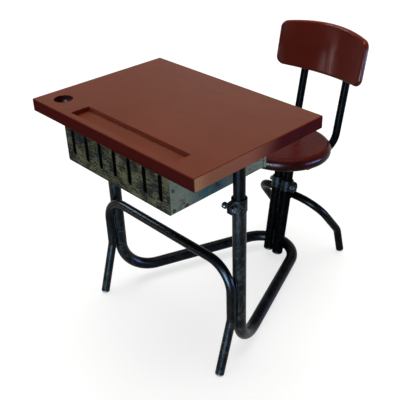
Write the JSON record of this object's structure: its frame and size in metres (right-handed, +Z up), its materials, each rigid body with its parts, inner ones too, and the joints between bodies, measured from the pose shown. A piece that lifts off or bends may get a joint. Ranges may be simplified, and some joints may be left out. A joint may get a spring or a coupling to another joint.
{
  "type": "school desk",
  "caption": "School desk with an attached round seat: one bent tube frame carries a height adjustable desktop with a book box and a seat with a curved backrest.",
  "frame": {"origin": "middle of the whole desk's footprint on the floor", "axes": "+Z up, +Y from the desk's front edge towards the backrest, +X to the side away from the ink hole"},
  "size_m": [0.6, 0.8645, 0.7314],
  "materials": {
    "desktop_wood": "satin varnish, worn",
    "seat_wood": "gloss varnish",
    "black_tube": "gloss enamel, worn",
    "box_sheet": "worn paint over steel",
    "black_plug": "matt",
    "fastener_steel": "dull, darkened"
  },
  "bodies": {
    "frame": {"main_frame_tube": "black_tube", "front_leg_arch": "black_tube", "rear_leg_arch": "black_tube", "front_foot_caps": "black_plug", "rear_foot_caps": "black_plug", "seat_socket_left": "black_tube", "seat_socket_right": "black_tube", "socket_end_caps": "black_plug", "desk_clamp_left": "black_tube", "desk_clamp_right": "black_tube", "seat_clamp_left": "black_tube", "seat_clamp_right": "black_tube", "desk_clamp_nuts": "fastener_steel", "seat_clamp_nut": "fastener_steel"},
    "desk": {"desktop": "desktop_wood", "desk_post_left": "black_tube", "desk_post_right": "black_tube", "desk_plate_left": "black_tube", "desk_plate_right": "black_tube", "desk_plate_screws": "fastener_steel", "book_box_shell": "box_sheet", "book_box_front": "box_sheet", "book_box_rivets": "fastener_steel", "book_box_screws": "fastener_steel"},
    "chair": {"seat": "seat_wood", "seat_bracket": "black_tube", "seat_screws": "fastener_steel", "seat_tube_left": "black_tube", "seat_tube_right": "black_tube", "back_tube_left": "black_tube", "back_tube_right": "black_tube", "backrest": "seat_wood", "backrest_screws": "fastener_steel"},
    "screw_desk_left": {"desk_clamp_screw_left": "fastener_steel"},
    "screw_desk_right": {"desk_clamp_screw_right": "fastener_steel"},
    "screw_seat": {"seat_clamp_screw": "fastener_steel"},
    "screw_set": {"seat_set_screw": "fastener_steel"}
  },
  "joints": [
    {"name": "desk_height", "type": "slide", "parent": "frame", "child": "desk", "axis": [0, 0, 1], "range_m": [-0.1, 0.08]},
    {"name": "seat_height", "type": "slide", "parent": "frame", "child": "chair", "axis": [0, 0.1513, 0.9885], "range_m": [-0.04, 0.09]},
    {"name": "desk_clamp_turn_left", "type": "hinge", "parent": "frame", "child": "screw_desk_left", "pos_m": [-0.244, -0.2757, 0.5015], "axis": [1, 0, 0], "continuous": true},
    {"name": "desk_clamp_turn_right", "type": "hinge", "parent": "frame", "child": "screw_desk_right", "pos_m": [0.244, -0.2757, 0.5015], "axis": [1, 0, 0], "continuous": true},
    {"name": "seat_clamp_turn", "type": "hinge", "parent": "frame", "child": "screw_seat", "pos_m": [0.0465, 0.21551, 0.26486], "axis": [0, 0.9885, -0.1513], "continuous": true},
    {"name": "seat_set_turn", "type": "hinge", "parent": "frame", "child": "screw_set", "pos_m": [-0.041, 0.21551, 0.26486], "axis": [1, 0, 0], "continuous": true}
  ]
}
